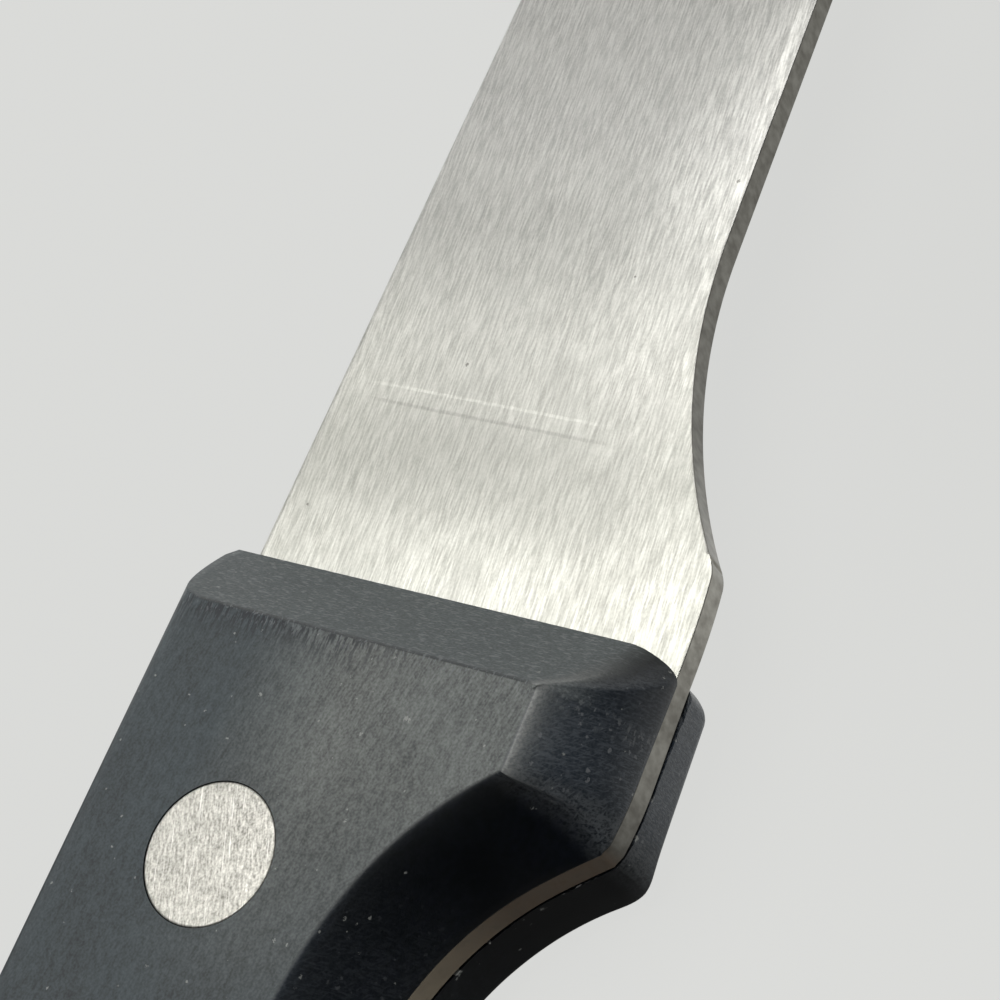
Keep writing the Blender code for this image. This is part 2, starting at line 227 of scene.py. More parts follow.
# Marks of the press across the shank: a groove, and a wave in the sheet on both sides of it
PRESS_MARK_X = 10.2
PRESS_MARK_SLANT = 0.0137
PRESS_MARK_REAR = (9.88, 10.10)
PRESS_MARK_FRONT = (11.03, 10.86)
PRESS_MARK_BELLY = (-19.5, -14.5)
PRESS_MARK_SPINE = (-1.0, -4.0)
PRESS_WAVE_LENGTH = 14.5
PRESS_WAVE_REAR = 0.088
PRESS_WAVE_FRONT = 0.045
PRESS_WAVE_STEP = 0.1

# Dish of the sheet by the bolster and roll of its belly side, as height per square millimetre
SHEET_DISH = 0.0005
SHEET_ROLL = -0.0078
SHEET_ROLL_Y = -13.0
SHEET_ROLL_REST = 0.45

# Rivets
RIVETS = {"guard": (-16.3, -9.5), "middle": (-57.0, -9.8), "butt": (-97.0, -10.6)}
HEAD_RADIUS = 3.5
HEAD_THICK = 1.8
HEAD_SUNK = 0.005
HEAD_EDGE = ((0.12, 0.0), (0.04, 0.02), (0.0, 0.07))
SOCKET_RADIUS = 2.4
SOCKET_BORE_RADIUS = 1.7
SOCKET_FLOOR = 0.8
STUD_RADIUS = 1.4
POST_GAP = 0.3
POST_CHAMFER = 0.2
BORE_RADIUS = 2.65
RECESS_RADIUS = 3.53
RECESS_DEPTH = 2.1
TURN_STEPS = 128

# Camera, in the same frame as the solids
CAMERA_AT = (-52.92, -59.59, 92.94)
CAMERA_TARGET = (-19.28, -0.42, 7.1)
CAMERA_ROLL_DEG = 42.42
CAMERA_LENS = 78.93

# Soft box above the fork, in metres and watts, and its front, with distances from the middle
LAMP_TOWARDS = (0.06, 0.16, 0.985)
LAMP_DISTANCE = 1.6
LAMP_SIZE = 1.5
LAMP_POWER = 21.0
LAMP_COLOUR = (1.0, 0.99, 0.955)
SOFT_FRONT_LEVEL = 5.05
SOFT_FRONT_DIM = 0.06
SOFT_FRONT_CENTRE = (0.42, 0.62)
SOFT_FRONT_RIM = (0.70, 0.84)

# Floor in metres, and room: where it is pale, and the even tone that the camera sees
FLOOR_HALF = 6.0
FLOOR_DROP = 0.0002
ROOM_BEYOND = (0.05, 0.95, 0.30)
ROOM_AHEAD = (0.45, 0.89, 0.0)
ROOM_ASIDE = (0.90, -0.42, 0.15)
ROOM_TONE = 0.70


def mix(a, b, share):
    return a + (b - a) * share


def ease(share):
    """Smooth step from 0 to 1 that starts and ends level."""
    share = min(1.0, max(0.0, share))
    return share * share * (3.0 - 2.0 * share)


def shares(count, last=True):
    """Even shares from 0 to 1, with or without the last one."""
    return [i / count for i in range(count + 1 if last else count)]


def polar(centre, radius, degrees):
    angle = math.radians(degrees)
    return (centre[0] + radius * math.cos(angle), centre[1] + radius * math.sin(angle))


def arc(centre, radius, start_deg, end_deg, steps):
    return [polar(centre, radius, mix(start_deg, end_deg, s)) for s in shares(steps)]


def swell(start, end, steps):
    """Points of a level-ended curve from one low or high point of an edge to the next."""
    return [(mix(start[0], end[0], s), mix(start[1], end[1], ease(s))) for s in shares(steps, last=False)]


def pulled(start, pull, end, share):
    """Point of a quadratic curve that is pulled towards a third point."""
    rest = 1.0 - share
    weights = (rest * rest, 2.0 * rest * share, share * share)
    return tuple(weights[0] * a + weights[1] * b + weights[2] * c for a, b, c in zip(start, pull, end))


def between(a, b, share):
    """Point or form between two others."""
    return tuple(mix(p, q, share) for p, q in zip(a, b))


def cut(value, limit, width):
    """Smaller of two values, with a round of the given width where they meet."""
    overlap = max(0.0, 1.0 - abs(value - limit) / max(width, 1e-6))
    return min(value, limit) - overlap * overlap * width / 4.0


# Stations round the handle's outline: rim point at the tang, ridge point at the flat face, points of the
# front and back sides between them, worn round and paleness of the ridge, reach of the flat face's haze and
# painted sheen round the edge, how rubbed the side is, and how pale its whole height is at the crease, from
# wear and a painted highlight
Station = namedtuple("Station", "rim ridge front back round wear haze rub seam", defaults=(0.0,) * 3)


def side_share(step, form):
    """How far in and up the side has come at a step, from the rim (0) to the ridge (SIDE_STEPS)."""
    wall, pull_in, pull_up = form
    if step <= WALL_STEPS:
        return 0.0, wall * step / WALL_STEPS
    share = (step - WALL_STEPS) / (SIDE_STEPS - WALL_STEPS)
    return pulled((0.0, wall), (pull_in, pull_up), (1.0, 1.0), share)


def plain_side(rim, ridge, form):
    """Points of a side from rim to ridge, each with its x, y and share of the height."""
    steps = [side_share(step, form) for step in range(SIDE_STEPS + 1)]
    return [(*between(rim, ridge, inward), upward) for inward, upward in steps]


def leaning_side(rim, ridge, form):
    """Side that leans back evenly with the front bevel."""
    return [(mix(rim[0], ridge[0], upward), y, upward) for _, y, upward in plain_side(rim, ridge, form)]


def bevelled_side(rim, ridge, form):
    """Side that the plane of the front bevel cuts off, with a round, widest halfway up, where they meet."""
    points = []
    for x, y, upward in plain_side(rim, ridge, form):
        width = CORNER_ROUND * 4.0 * upward * (1.0 - upward)
        points.append((cut(x, -BEVEL_LENGTH * upward, width), y, upward))
    return points


def soften(points):
    """Front side near the guard's rear corner, eased inwards where the scoop and the guard meet."""
    near = max(0.0, 1.0 - math.dist(points[0][:2], REAR_CORNER) / REAR_REACH)
    depth = REAR_SLOPE * REAR_REACH * near * near / 2
    moved = []
    for x, y, upward in points:
        inward = depth * min(1.0, REAR_SETBACK + upward, REAR_RIDGE_FADE * (1.0 - upward))
        bow = REAR_BOW * near * upward * (1.0 - upward) ** 2
        moved.append((x + inward * REAR_INWARD[0] + bow, y + inward * REAR_INWARD[1], upward))
    return moved


def crease_point(upward):
    """Crease between the front bevel and the guard, which bows towards the guard."""
    x = mix(CREASE_FOOT[0], -BEVEL_LENGTH, upward)
    y = mix(CREASE_FOOT[1], GUARD_RIDGE_Y, upward ** 5)
    return x, y - CREASE_BOW * upward * (1.0 - upward)


def corner_side(share):
    """Side at a share of the way round the guard's front corner, up to the crease."""
    foot_slope = (CREASE_FOOT[0] - TURN_PULL[0]) / (CREASE_FOOT[1] - TURN_PULL[1])
    points = []
    for x, y, upward in leaning_side(TURN_END, GUARD_RIDGE_FRONT, FRONT_GUARD):
        crease = crease_point(upward)
        slope = mix(foot_slope, CREASE_TOP_SLOPE, upward)
        pull = (crease[0] - slope * (crease[1] - y), y + (TURN_PULL[1] - GUARD_Y) * (1.0 - upward))
        end = (min(x, pull[0] - TURN_LEAST * (1.0 - upward)), y)
        points.append((*pulled(end, pull, crease, share), upward))
    return points


def bevel_side(rim, share):
    """Side at a share of the way along the front bevel, from the crease to the spine."""
    low = plain_side(TURN_END, GUARD_RIDGE_FRONT, FRONT_GUARD)
    high = plain_side((0.0, SPINE_Y), SPINE_RIDGE_FRONT, SOFT_SIDE)
    points = []
    for (_, _, level), (_, y, level_high) in zip(low, high):
        upward = mix(level, level_high, share)
        points.append((mix(rim[0], -BEVEL_LENGTH, upward), mix(crease_point(level)[1], y, share), upward))
    return points


def spine_stations():
    rim = [(-FRONT_FAN_LENGTH * s, SPINE_Y) for s in shares(18, last=False)]
    rim += [(mix(-FRONT_FAN_LENGTH, SPINE_STRAIGHT_END, s), SPINE_Y) for s in shares(16, last=False)]
    rim += swell((SPINE_STRAIGHT_END, SPINE_Y), (BUTT_START, BUTT_TOP_Y), 24)
    for x, y in rim:
        ridge = (x if x < -BEVEL_LENGTH - CORNER_ROUND else -BEVEL_LENGTH, y - SPINE_BEVEL)
        front = bevelled_side((x, y), ridge, SOFT_SIDE)
        back = plain_side((x, y), ridge, SOFT_SIDE)
        worn = between(FRONT_ROUND, SPINE_ROUND, ease((-x - BEVEL_LENGTH - CORNER_ROUND) / BEVEL_LENGTH))
        yield Station((x, y), ridge, front, back, worn, EDGE_WEAR, haze=1.0)


def butt_stations():
    """Squarish rounded end, drawn as half of a superellipse."""
    middle_y = (BUTT_TOP_Y + BUTT_HEEL_Y) / 2
    half = (BUTT_TOP_Y - BUTT_HEEL_Y) / 2
    reach = HANDLE_LENGTH + BUTT_START
    for s in shares(64, last=False):
        angle = math.pi * s
        out = abs(math.sin(angle)) ** (2.0 / BUTT_POWER)
        up = math.copysign(abs(math.cos(angle)) ** (2.0 / BUTT_POWER), math.cos(angle))
        rim = (BUTT_START - reach * out, middle_y + half * up)
        bevel_y = mix(SPINE_BEVEL, BELLY_BEVEL, s)
        ridge = (BUTT_START - (reach - BUTT_BEVEL) * out, middle_y + (half - bevel_y) * up)
        front = plain_side(rim, ridge, between(SOFT_SIDE, FRONT_BELLY, s))
        back = plain_side(rim, ridge, between(SOFT_SIDE, BACK_BELLY, s))
        haze = mix(1.0, BELLY_HAZE_AND_SHEEN, s)
        yield Station(rim, ridge, front, back, BUTT_ROUND, EDGE_WEAR, haze, SCOOP_RUB * s)


def belly_stations():
    scoop_floor = polar(SCOOP_CENTRE, SCOOP_RADIUS, 90.0)
    rim = swell((BUTT_START, BUTT_HEEL_Y), GRIP_WAIST, 20)
    rim += swell(GRIP_WAIST, PALM_SWELL, 28)
    rim += swell(PALM_SWELL, scoop_floor, 32)
    floor_bevel = SCOOP_RIDGE_RADIUS_END - SCOOP_RADIUS
    for x, y in rim:
        share = (x - BUTT_START) / (scoop_floor[0] - BUTT_START)
        ridge = (x, y + mix(BELLY_BEVEL, floor_bevel, share))
        front = plain_side((x, y), ridge, between(FRONT_BELLY, FRONT_SCOOP, share))
        back = plain_side((x, y), ridge, between(BACK_BELLY, BACK_SCOOP, share))
        haze = mix(BELLY_HAZE_AND_SHEEN, 0.0, share)
        yield Station((x, y), ridge, front, back, BELLY_ROUND, EDGE_WEAR, haze, SCOOP_RUB)


def scoop_stations():
    """Round finger scoop behind the guard. Its ridge runs closer to the edge at its floor."""
    for s in shares(64, last=False):
        rim = polar(SCOOP_CENTRE, SCOOP_RADIUS, mix(90.0, SCOOP_START_DEG, s))
        ridge_radius = mix(SCOOP_RIDGE_RADIUS_END, SCOOP_RIDGE_RADIUS_START, ease(s))
        ridge = polar(SCOOP_CENTRE, ridge_radius, mix(90.0, SCOOP_RIDGE_START_DEG, s))
        front = soften(plain_side(rim, ridge, FRONT_SCOOP))
        back = front[:1] + plain_side(rim, ridge, between(BACK_SCOOP, BACK_CORNER, s))[1:]
        floor_rub = SCOOP_RUB * ease(1.0 - s / SCOOP_RUB_END)
        corner_rub = CORNER_RUB * ease(1.0 - (1.0 - s) / CORNER_RUB_SPREAD)
        rub = max(floor_rub, corner_rub)
        yield Station(front[0][:2], ridge, front, back, BELLY_ROUND, SCOOP_WEAR, rub=rub)


def guard_stations():
    """Rounded rear corner, straight edge and swept front corner of the guard."""
    scoop_end = polar(SCOOP_CENTRE, SCOOP_RADIUS, SCOOP_START_DEG)
    ridge_rear = (GUARD_RIDGE_REAR_X, GUARD_RIDGE_Y)
    for s in shares(10, last=False):
        rim = (mix(scoop_end[0], GUARD_REAR_X, s), mix(scoop_end[1], GUARD_Y, math.sin(s * math.pi / 2)))
        front = soften(plain_side(rim, ridge_rear, between(FRONT_SCOOP, FRONT_GUARD, s)))
        back = front[:1] + plain_side(rim, ridge_rear, between(BACK_CORNER, BACK_REAR, s))[1:]
        wear = mix(SCOOP_WEAR, GUARD_WEAR, s)
        rub = mix(CORNER_RUB, REAR_RUB, s)
        yield Station(front[0][:2], ridge_rear, front, back, GUARD_ROUND, wear, rub=rub)
    for s in shares(24, last=False):
        rim = between((GUARD_REAR_X, GUARD_Y), TURN_END, s)
        ridge = between(ridge_rear, GUARD_RIDGE_FRONT, s)
        front = soften(leaning_side(rim, ridge, FRONT_GUARD))
        back = front[:1] + plain_side(rim, ridge, between(BACK_REAR, BACK_GUARD, s))[1:]
        rub = mix(REAR_RUB, 1.0, ease(s / REAR_RUB_SPREAD))
        yield Station(front[0][:2], ridge, front, back, GUARD_ROUND, GUARD_WEAR, rub=rub)
    for s in shares(16):
        rim = pulled(TURN_END, TURN_PULL, CREASE_FOOT, s)
        front = corner_side(s)
        back = plain_side(rim, GUARD_RIDGE_FRONT, between(BACK_GUARD, BACK_FRONT, s))
        worn = between(GUARD_ROUND, FRONT_ROUND, s)
        # Wear and painted highlight up the side next to the crease
        seam = CREASE_WEAR_AND_SHEEN * ease(1.0 - (1.0 - s) / CREASE_SPREAD)
        rub = ease(1.0 - s)
        yield Station(rim, GUARD_RIDGE_FRONT, front, back, worn, GUARD_WEAR, rub=rub, seam=seam)


def front_stations():
    """Front edge along the bolster line, from the crease at the guard to the spine."""
    for s in shares(48, last=False)[1:]:
        y = mix(CREASE_FOOT[1], SPINE_Y, s)
        sweep = max(0.0, (SWEEP_START_Y - y) / (SWEEP_START_Y - CREASE_FOOT[1]))
        rim = (CREASE_FOOT[0] * sweep * sweep, y)
        ridge = between(GUARD_RIDGE_FRONT, SPINE_RIDGE_FRONT, s)
        front = bevel_side(rim, s)
        back = plain_side(rim, ridge, between(BACK_FRONT, SOFT_SIDE, s))
        # Wear and painted highlight where the bevel meets the crease
        seam = CREASE_WEAR_AND_SHEEN * ease(1.0 - s / BEVEL_CREASE_WEAR_AND_SHEEN)
        yield Station(rim, ridge, front, back, FRONT_ROUND, EDGE_WEAR, seam=seam)


def round_rear(stations):
    """Back sides averaged along the edge round the guard's rear corner, fully within REAR_FULL of it and
    not at all from twice that on."""
    apart = [math.dist(station.rim, REAR_CORNER) for station in stations]
    near = [i for i in range(len(stations)) if apart[i] < REAR_NEAR]
    place = {}
    along = 0.0
    for i in near:
        along += math.dist(stations[i - 1].rim, stations[i].rim)
        place[i] = along
    rounded = list(stations)
    for i in near:
        weights = {}
        for j in near:
            spread = (place[j] - place[i]) / REAR_SPREAD_BACK
            length = math.dist(stations[j - 1].rim, stations[j + 1].rim)
            weights[j] = length * math.exp(-spread * spread / 2)
        whole = sum(weights.values())
        share = ease(2.0 - apart[i] / REAR_FULL)
        points = []
        for step, own in enumerate(stations[i].back):
            mean = [sum(weights[j] * stations[j].back[step][k] for j in near) / whole for k in range(3)]
            fade = min(1.0, REAR_RIM_FADE * own[2], REAR_RIDGE_FADE * (1.0 - own[2]))
            points.append(between(own, mean, share * fade))
        rounded[i] = stations[i]._replace(back=points)
    return rounded


def handle_stations():
    rear = (spine_stations, butt_stations, belly_stations)
    ahead = (scoop_stations, guard_stations, front_stations)
    return round_rear([station for stretch in rear + ahead for station in stretch()])


# Mesh helpers

def inset(points, distances):
    """A counter-clockwise outline moved inwards by a distance at each point."""
    count = len(points)
    moved = []
    for i, (point, distance) in enumerate(zip(points, distances)):
        here = Vector(point)
        before = next(p for k in range(1, count) if (p := Vector(points[i - k])) != here)
        after = next(p for k in range(1, count) if (p := Vector(points[(i + k) % count])) != here)
        arrive = (here - before).normalized()
        leave = (after - here).normalized()
        inward = Vector((-arrive.y - leave.y, arrive.x + leave.x)).normalized()
        reach = distance / max(LEAST_MITRE, inward.dot(Vector((-arrive.y, arrive.x))))
        moved.append(tuple(here + inward * reach))
    return moved


def weld(form):
    bmesh.ops.remove_doubles(form, verts=form.verts, dist=WELD)


def add_ring(form, points):
    return [form.verts.new(point) for point in points]


def bridge(form, lower, upper, smooth=True):
    count = len(lower)
    for i in range(count):
        j = (i + 1) % count
        face = form.faces.new((lower[i], lower[j], upper[j], upper[i]))
        face.smooth = smooth


def fill(form, level, crisp=False):
    """Close what is still open at a level with one flat face that leaves its holes free."""
    weld(form)
    edges = []
    for edge in form.edges:
        if edge.is_boundary and all(abs(vert.co.z - level) < LEVEL_SLACK for vert in edge.verts):
            edges.append(edge)
            edge.smooth = not crisp
    made = bmesh.ops.triangle_fill(form, use_beauty=True, use_dissolve=False, edges=edges)
    for item in made["geom"]:
        if isinstance(item, bmesh.types.BMFace):
            item.smooth = False


def circle(centre, radius, z):
    return [(*polar(centre, radius, 360.0 * s), z) for s in shares(TURN_STEPS, last=False)]


def add_object(name, form, material):
    """Put a form into the scene as an object."""
    mesh = bpy.data.meshes.new(name)
    form.to_mesh(mesh)
    form.free()
    mesh.materials.append(material)
    thing = bpy.data.objects.new(name, mesh)
    bpy.context.scene.collection.objects.link(thing)
    return thing


def dress(name, form, material, node):
    """Turn a form in millimetres into a piece that stands for a solid."""
    weld(form)
    bmesh.ops.recalc_face_normals(form, faces=form.faces)
    for vert in form.verts:
        vert.co = (vert.co + Vector((BOLSTER_X, BOLSTER_Y, 0.0))) * MM
    piece = add_object(name, form, material)
    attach(piece, "root")
    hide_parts(node)


# Scales

def wobble(x, y):
    """Uneven value between -1 and 1 that changes every half millimetre or so."""
    return sum(math.sin(a * x + b * y) for a, b in WOBBLE_WAVES) / len(WOBBLE_WAVES)


def side_ring(stations, step, seat, face):
    """Points round a scale's side at a step from the rim to the ridge. The back scale's rim is uneven."""
    ring = []
    for station in stations:
        x, y, upward = (station.front if face > seat else station.back)[step]
        uneven = SEAT_WOBBLE * wobble(x, y) if step == 0 and face < seat else 0.0
        ring.append((x, y, mix(seat, face, upward) + uneven))
    return ring


def scale_form(seat, face):
    """Loft from the tang outline to the ridge, with a worn round on the ridge and stepped rivet holes."""
    stations = handle_stations()
    form = bmesh.new()
    wear = form.verts.layers.float.new("wear")
    rub = form.verts.layers.float.new("rub")
    flatness = form.verts.layers.float.new("flat_face")
    thick = face - seat
    sides = [side_ring(stations, step, seat, face) for step in range(SIDE_STEPS)]
    ridges = [Vector((*station.ridge, face)) for station in stations]
    flat = inset([station.ridge for station in stations], [station.round[1] for station in stations])
    rings = [add_ring(form, ring) for ring in sides[:-2]]
    for share in shares(ROUND_STEPS):
        points = []
        for below, ridge, inner, station in zip(sides[-3], ridges, flat, stations):
            down = Vector(below) - ridge
            start = ridge + down * min(ROUND_MOST, station.round[0] / down.length)
            points.append(pulled(start, ridge, (*inner, face), share))
        rings.append(add_ring(form, points))
    for ring in rings:
        for vert, ridge, station in zip(ring, ridges, stations):
            # The wear layer also takes the crease's wear and painted highlight
            seam = station.seam * ease((vert.co.z - seat) / thick)
            vert[wear] = max(seam, station.wear * math.exp(-(vert.co - ridge).length / WEAR_FADE))
            vert[rub] = station.rub
    for lower, upper in zip(rings, rings[1:]):
        bridge(form, lower, upper)
    form.normal_update()
    for ring in rings:
        for vert, station in zip(ring, stations):
            # Haze and painted sheen by how squarely the surface faces up or down
            vert[flatness] = station.haze * ease((abs(vert.normal.z) - HAZE_AND_SHEEN_TILT) / HAZE_AND_SHEEN_TILT_RANGE)
    for vert in rings[-1]:
        vert[flatness] = 1.0
    ledge = face - math.copysign(RECESS_DEPTH, thick)
    hole = [(RECESS_RADIUS, face), (RECESS_RADIUS, ledge), (BORE_RADIUS, ledge), (BORE_RADIUS, seat)]
    for place in RIVETS.values():
        loops = [add_ring(form, circle(place, radius, z)) for radius, z in hole]
        for vert in loops[0]:
            vert[flatness] = 1.0
        for upper, lower in zip(loops, loops[1:]):
            bridge(form, upper, lower, smooth=False)
    fill(form, face)
    fill(form, seat, crisp=True)
    return form


# Steel blank

def heel_outline():
    """Gentle curve from the guard to the heel's corner, then the flank, an arc into the tapered shank."""
    start_y = SHANK_BELLY_Y - SHANK_SLOPE * (SHANK_TAPER_START - HEEL_START_X)
    start_deg = 90.0 + SHANK_TAPER_DEG
    centre = polar((HEEL_START_X, start_y), -HEEL_RADIUS, start_deg)
    flank = arc(centre, HEEL_RADIUS, 90.0 + HEEL_END_DEG, start_deg, 40)
    corner = Vector(flank[0])
    foot = [pulled(HEEL_FOOT, HEEL_FOOT_PULL, flank[0], s) for s in shares(16, last=False)]
    rear = corner + (Vector(foot[-1]) - corner).normalized() * HEEL_CORNER_CUT
    front = corner + (Vector(flank[1]) - corner).normalized() * HEEL_CORNER_CUT
    worn = [pulled(rear, corner, front, s) for s in shares(6)]
    return foot[:-1] + worn + flank[1:]


def tine_outline(side):
    """One tine from its outer edge round the point and back along the slot. Side is +1 at the spine."""
    tip_radius = (TIP_OUTER - TIP_INNER) / 2
    outer = []
    inner = []
    for s in shares(16):
        x = mix(POINT_START, BLADE_LENGTH - tip_radius, s)
        outer.append((x, mix(FORK_HALF_WIDTH, TIP_OUTER, s * s)))
        inner.append((x, mix(SLOT_HALF_WIDTH, TIP_INNER, s * s)))
    tip_centre = (BLADE_LENGTH - tip_radius, TIP_INNER + tip_radius)
    tip = arc(tip_centre, tip_radius, TIP_ARC_DEG, -TIP_ARC_DEG, 10)
    return [(x, FORK_AXIS_Y + side * y) for x, y in outer + tip + inner[::-1]]


def blank_outline():
    """Edge of the whole blank, from the step at the bolster round the tang, heel, tines and back."""
    belly_tine_start = (TINE_START, FORK_AXIS_Y - FORK_HALF_WIDTH)
    spine_tine_start = (TINE_START, FORK_AXIS_Y + FORK_HALF_WIDTH)
    taper_rise = SHANK_SLOPE * (SHANK_STRAIGHT_END - SHANK_TAPER_START)
    belly_end = (SHANK_STRAIGHT_END, SHANK_BELLY_Y + taper_rise)
    slot_root = arc((TINE_START, FORK_AXIS_Y), SLOT_HALF_WIDTH, 270.0, 90.0, 32)
    outline = [station.rim for station in spine_stations() if station.rim[0] < TANG_STEP_X - SPINE_Y]
    for stretch in (butt_stations, belly_stations, scoop_stations):
        outline += [station.rim for station in stretch()]
    outline += [station.rim for station in guard_stations() if station.rim[0] <= GUARD_REAR_X + REAR_REACH]
    outline += heel_outline()
    outline += swell(belly_end, belly_tine_start, 20) + [belly_tine_start]
    outline += tine_outline(-1)
    outline += slot_root
    outline += tine_outline(1)[::-1]
    outline += swell(spine_tine_start, (SHANK_STRAIGHT_END, 0.0), 20) + [(SHANK_STRAIGHT_END, 0.0)]
    outline += arc((TANG_STEP_X, SPINE_Y), SPINE_Y, -90.0, -180.0, 14)
    return outline


def on_belly(x, y):
    """How much of the crisp belly edge, which ends before the tines, there is at a point."""
    return ease((BELLY_END - x) / BELLY_END_FADE) if y < FORK_AXIS_Y else 0.0


def belly_band(x, y):
    """How much of the ground belly band there is at a point."""
    return ease((x - BELLY_BAND_START) / BELLY_BAND_FADE) * on_belly(x, y)


def edge_radius(x, y):
    """Rounding of the blank's edge: crisp along the tang and the belly, rolled elsewhere."""
    tang = ease((TANG_STEP_X - x) / TANG_EDGE_FADE)
    return mix(mix(ROLLED_EDGE, BELLY_EDGE, on_belly(x, y)), TANG_EDGE, tang)


def blank_form():
    """Plate with worn edges. The innermost ring on top gives the shank's belly edge its ground slope."""
    outline = blank_outline()
    bands = [belly_band(x, y) for x, y in outline]
    radii = [edge_radius(x, y) for x, y in outline]
    form = bmesh.new()
    edge = form.verts.layers.float.new("edge")
    rings = []
    angles = [math.radians(a) for a in (90.0, 60.0, 30.0, 0.0)]
    for level, up in ((BLANK_BOTTOM, 1.0), (BLANK_TOP, -1.0)):
        for angle in angles[::int(up)]:
            points = inset(outline, [radius * (1.0 - math.cos(angle)) for radius in radii])
            ring = []
            for point, radius, band in zip(points, radii, bands):
                z = level + up * radius * (1.0 - math.sin(angle))
                drop = BELLY_BAND_DROP * band if up < 0 else 0.0
                ring.append(form.verts.new((*point, z - drop)))
            rings.append(ring)
    for ring in rings[2:-2]:
        for vert in ring:
            vert[edge] = 1.0
    widths = [mix(radius + INNER_RING_GAP, BELLY_BAND_WIDTH, band) for radius, band in zip(radii, bands)]
    rings.append([form.verts.new((*point, BLANK_TOP)) for point in inset(outline, widths)])
    for lower, upper in zip(rings, rings[1:]):
        bridge(form, lower, upper)
    half = len(angles)
    for ring in rings[half - 1:half + 1]:
        for i, radius in enumerate(radii):
            form.edges.get((ring[i - 1], ring[i])).smooth = radius > CRISP_EDGE
    for place in RIVETS.values():
        lower = add_ring(form, circle(place, BORE_RADIUS, BLANK_BOTTOM))
        upper = add_ring(form, circle(place, BORE_RADIUS, BLANK_TOP))
        bridge(form, upper, lower, smooth=False)
    fill(form, BLANK_TOP)
    fill(form, BLANK_BOTTOM)
    everything = form.verts[:] + form.edges[:] + form.faces[:]
    cut_at = (POINT_START, 0.0, 0.0)
    bmesh.ops.bisect_plane(form, geom=everything, dist=WELD, plane_co=cut_at, plane_no=(1.0, 0.0, 0.0))
    middle = (BLANK_BOTTOM + BLANK_TOP) / 2
    stock = BLANK_TOP - BLANK_BOTTOM
    for vert in form.verts:
        share = max(0.0, (vert.co.x - POINT_START) / (BLADE_LENGTH - POINT_START))
        vert.co.z = middle + (vert.co.z - middle) * mix(1.0, TIP_THICK / stock, share)
    return form


# Rivets

def turned_form(profile, place):
    """Solid of revolution. The profile runs from the axis at the top down the outer side to the axis."""
    form = bmesh.new()
    rings = [add_ring(form, circle(place, radius, z)) for radius, z in profile[1:-1]]
    for upper, lower in zip(rings, rings[1:]):
        bridge(form, upper, lower)
    for ring, (_, z) in ((rings[0], profile[0]), (rings[-1], profile[-1])):
        hub = form.verts.new((*place, z))
        for a, b in zip(ring, ring[1:] + ring[:1]):
            form.faces.new((a, b, hub))
    return form


def head_edge(level, down):
    """Softly sanded edge of a flush head, from its flat face to its side."""
    return [(HEAD_RADIUS - inward, level + down * drop) for inward, drop in HEAD_EDGE]


def stud_profile():
    """Flush head, and the post that is pressed into the socket."""
    top = HANDLE_TOP - HEAD_SUNK
    neck = HANDLE_TOP - HEAD_THICK
    post_end = HEAD_THICK + SOCKET_FLOOR + POST_GAP
    head = [(0.0, top)] + head_edge(top, -1.0) + [(HEAD_RADIUS, neck), (STUD_RADIUS, neck)]
    tip = [(STUD_RADIUS, post_end + POST_CHAMFER), (STUD_RADIUS - POST_CHAMFER, post_end)]
    return head + tip + [(0.0, post_end)]


def socket_profile():
    """Tube that takes the post, and the flush head on the back."""
    mouth = HANDLE_TOP - HEAD_THICK - POST_GAP
    floor = HEAD_THICK + SOCKET_FLOOR
    bore = [(0.0, floor), (SOCKET_BORE_RADIUS, floor), (SOCKET_BORE_RADIUS, mouth)]
    tube = [(SOCKET_RADIUS, mouth), (SOCKET_RADIUS, HEAD_THICK), (HEAD_RADIUS, HEAD_THICK)]
    return bore + tube + head_edge(HEAD_SUNK, 1.0)[::-1] + [(0.0, HEAD_SUNK)]


# Material helpers

def add_node(tree, kind, inputs=None, **settings):
    node = tree.nodes.new("ShaderNode" + kind)
    for key, value in settings.items():
        setattr(node, key, value)
    for key, value in (inputs or {}).items():
        if is_socket(value):
            tree.links.new(value, node.inputs[key])
        else:
            node.inputs[key].default_value = value
    return node


def is_socket(value):
    return isinstance(value, bpy.types.NodeSocket)


def bare_tree(owner):
    """Empty node tree of a material or world."""
    owner.use_nodes = True
    owner.node_tree.nodes.clear()
    return owner.node_tree


def axes(where):
    return add_node(where.id_data, "SeparateXYZ", {0: where}).outputs


def scaled(where, factor, offset):
    """Place multiplied by a factor and moved."""
    terms = {0: where, 1: (factor,) * 3, 2: offset}
    return add_node(where.id_data, "VectorMath", terms, operation="MULTIPLY_ADD").outputs[0]


def bolster_place(tree):
    """Place on the part in millimetres of the bolster frame."""
    local = add_node(tree, "TexCoord").outputs["Object"]
    return scaled(local, 1.0 / MM, (-BOLSTER_X, -BOLSTER_Y, 0.0))


def new_material(name, metallic):
    material = bpy.data.materials.new(name)
    material.use_nodes = True
    tree = material.node_tree
    shader = tree.nodes["Principled BSDF"]
    shader.inputs["Metallic"].default_value = metallic
    return material, tree, shader, bolster_place(tree)


def finish_surface(shader, colour, roughness, height):
    """Give a shader its colour, its roughness and a fine relief in millimetres."""
    tree = shader.id_data
    bump = add_node(tree, "Bump", {"Height": height, "Strength": 1.0, "Distance": MM})
    tree.links.new(colour, shader.inputs["Base Color"])
    tree.links.new(roughness, shader.inputs["Roughness"])
    tree.links.new(bump.outputs["Normal"], shader.inputs["Normal"])


def grain(where, size, detail=2.0, seed=0.0, turn_deg=0.0):
    """Noise with features of a size in millimetres along x, y and z, turned about the vertical."""
    tree = where.id_data
    place = add_node(tree, "Mapping", {"Vector": where, "Scale": size}, vector_type="TEXTURE")
    place.inputs["Location"].default_value = (seed * 31.0, seed * 17.0, seed * 7.0)
    place.inputs["Rotation"].default_value = (0.0, 0.0, math.radians(turn_deg))
    noise = {"Vector": place.outputs[0], "Scale": 1.0, "Detail": detail}
    return add_node(tree, "TexNoise", noise).outputs["Fac"]


